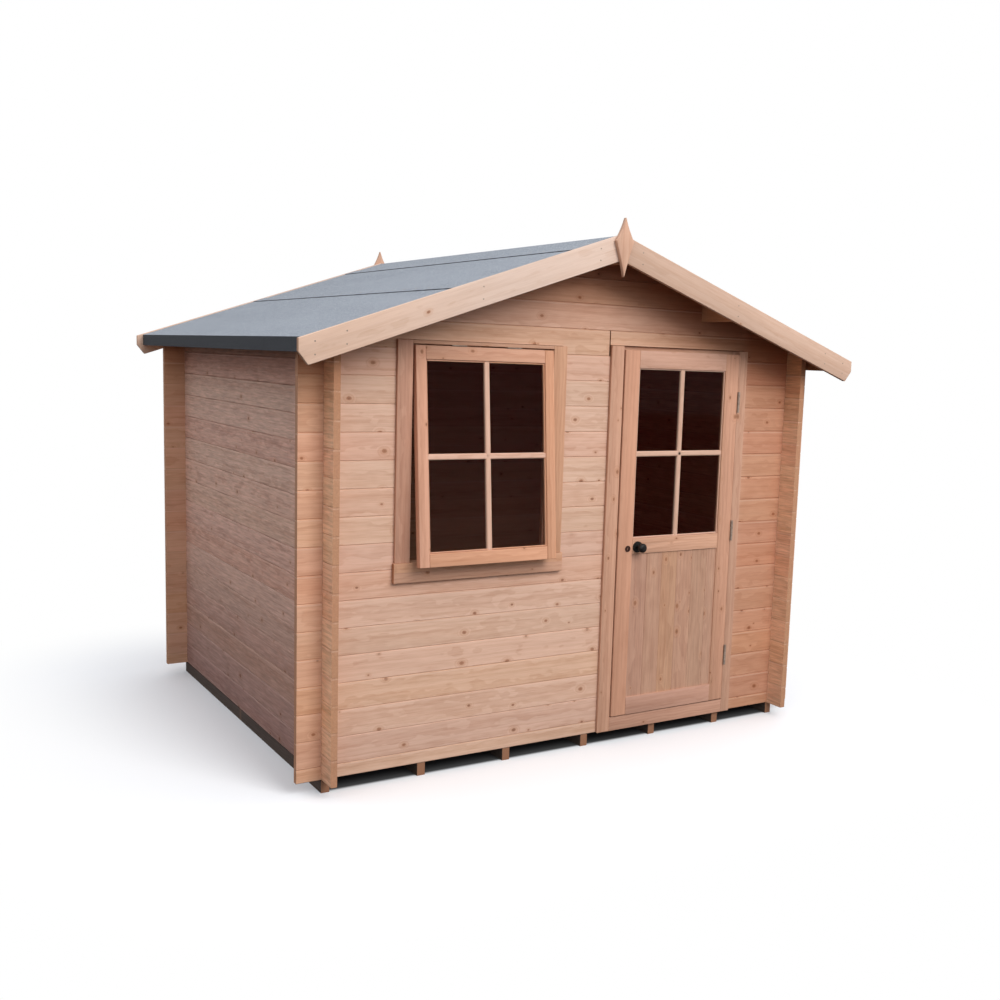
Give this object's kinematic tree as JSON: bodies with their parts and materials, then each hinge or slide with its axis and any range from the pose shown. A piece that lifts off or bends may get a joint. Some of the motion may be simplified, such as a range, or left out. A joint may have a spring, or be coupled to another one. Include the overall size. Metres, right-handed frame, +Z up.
{
  "type": "log cabin",
  "caption": "Small garden log cabin with interlocking corners, a half-glazed hinged door, a top-hung window ajar and a felted pitched roof.",
  "frame": {"origin": "middle of the footprint at ground level", "axes": "+X to the right seen from the front, -Y out of the front gable with the door, +Z up"},
  "size_m": [2.844, 2.59, 2.4064],
  "materials": {
    "log_timber": "unpainted machined softwood logs",
    "frame_timber": "planed softwood frames",
    "joinery_timber": "planed and sanded softwood joinery",
    "planed_timber": "fresh planed softwood boards",
    "roof_timber": "planed softwood roof boards and purlins",
    "floor_timber": "planed softwood floor boards",
    "bearer_timber": "pressure-treated sawn softwood",
    "roof_felt": "mineral-faced bitumen felt",
    "glass": "clear sheet glass",
    "hinge_steel": "plated steel",
    "black_iron": "black japanned iron"
  },
  "bodies": {
    "cabin": {"left_wall_odd_logs": "log_timber", "left_wall_even_logs": "log_timber", "right_wall_odd_logs": "log_timber", "right_wall_even_logs": "log_timber", "rear_wall_odd_logs": "log_timber", "rear_wall_even_logs": "log_timber", "front_wall_odd_logs": "log_timber", "front_wall_even_logs": "log_timber", "front_gable_even_logs": "log_timber", "front_gable_odd_logs": "log_timber", "rear_gable_even_logs": "log_timber", "rear_gable_odd_logs": "log_timber", "floor_bearers": "bearer_timber", "floor_boards": "floor_timber", "roof_purlins": "roof_timber", "left_roof_boards": "roof_timber", "right_roof_boards": "roof_timber", "eaves_battens": "roof_timber", "lower_felt_strips": "roof_felt", "upper_felt_strips": "roof_felt", "ridge_felt_strip": "roof_felt", "front_bargeboards": "planed_timber", "rear_bargeboards": "planed_timber", "front_finial": "planed_timber", "rear_finial": "planed_timber", "door_latch_jamb": "frame_timber", "door_hinge_jamb": "frame_timber", "door_head_rail": "frame_timber", "door_threshold": "frame_timber", "window_jambs": "frame_timber", "window_sill": "frame_timber", "window_head_rail": "frame_timber", "window_sash_stiles": "joinery_timber", "window_sash_rails": "joinery_timber", "window_glass": "glass", "door_hinge_pins": "hinge_steel", "window_hinges": "hinge_steel"},
    "door": {"door_stiles": "joinery_timber", "door_rails": "joinery_timber", "door_panel": "joinery_timber", "door_glass": "glass", "door_hinge_barrels": "hinge_steel", "door_knob_roses": "black_iron", "keyhole_covers": "black_iron"},
    "knob": {"door_knob": "black_iron"}
  },
  "joints": [
    {"name": "door_hinge", "type": "hinge", "parent": "cabin", "child": "door", "pos_m": [0.8755, -1.068, 0.991], "axis": [0, 0, 1], "range_deg": [0, 100]},
    {"name": "knob_turn", "type": "hinge", "parent": "door", "child": "knob", "pos_m": [0.304, -1.0445, 0.94], "axis": [0, 1, 0], "range_deg": [-45, 45], "stiffness_Nm_per_rad": 0.4}
  ]
}
